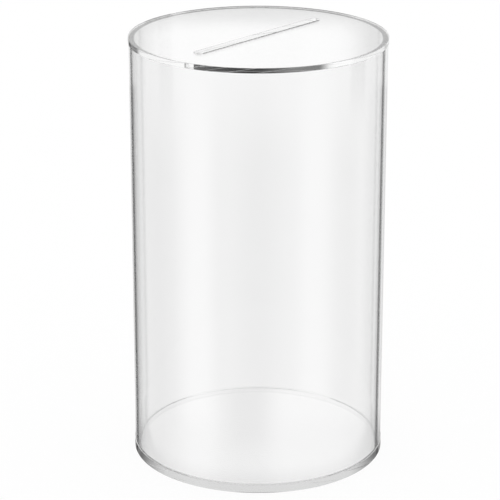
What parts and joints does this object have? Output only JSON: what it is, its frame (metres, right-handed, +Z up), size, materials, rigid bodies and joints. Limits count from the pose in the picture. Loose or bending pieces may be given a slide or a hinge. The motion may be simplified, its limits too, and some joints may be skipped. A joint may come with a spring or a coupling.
{
  "type": "money box",
  "caption": "Clear acrylic money box: a round tube cemented between a flat base disc and a flat top disc, with a long round-ended slot for coins and folded notes.",
  "frame": {"origin": "centre of the base disc's underside, on the surface the box stands on", "axes": "+Z up along the axis of the tube, +Y along the money slot"},
  "size_m": [0.1508, 0.1508, 0.2554],
  "materials": {
    "clear_acrylic": "polished clear cast acrylic",
    "cured_cement": "clear cured acrylic cement"
  },
  "bodies": {
    "root": {"base_disc": "clear_acrylic", "base_seam": "cured_cement", "tube": "clear_acrylic", "top_seam": "cured_cement", "top_disc": "clear_acrylic"}
  },
  "joints": []
}
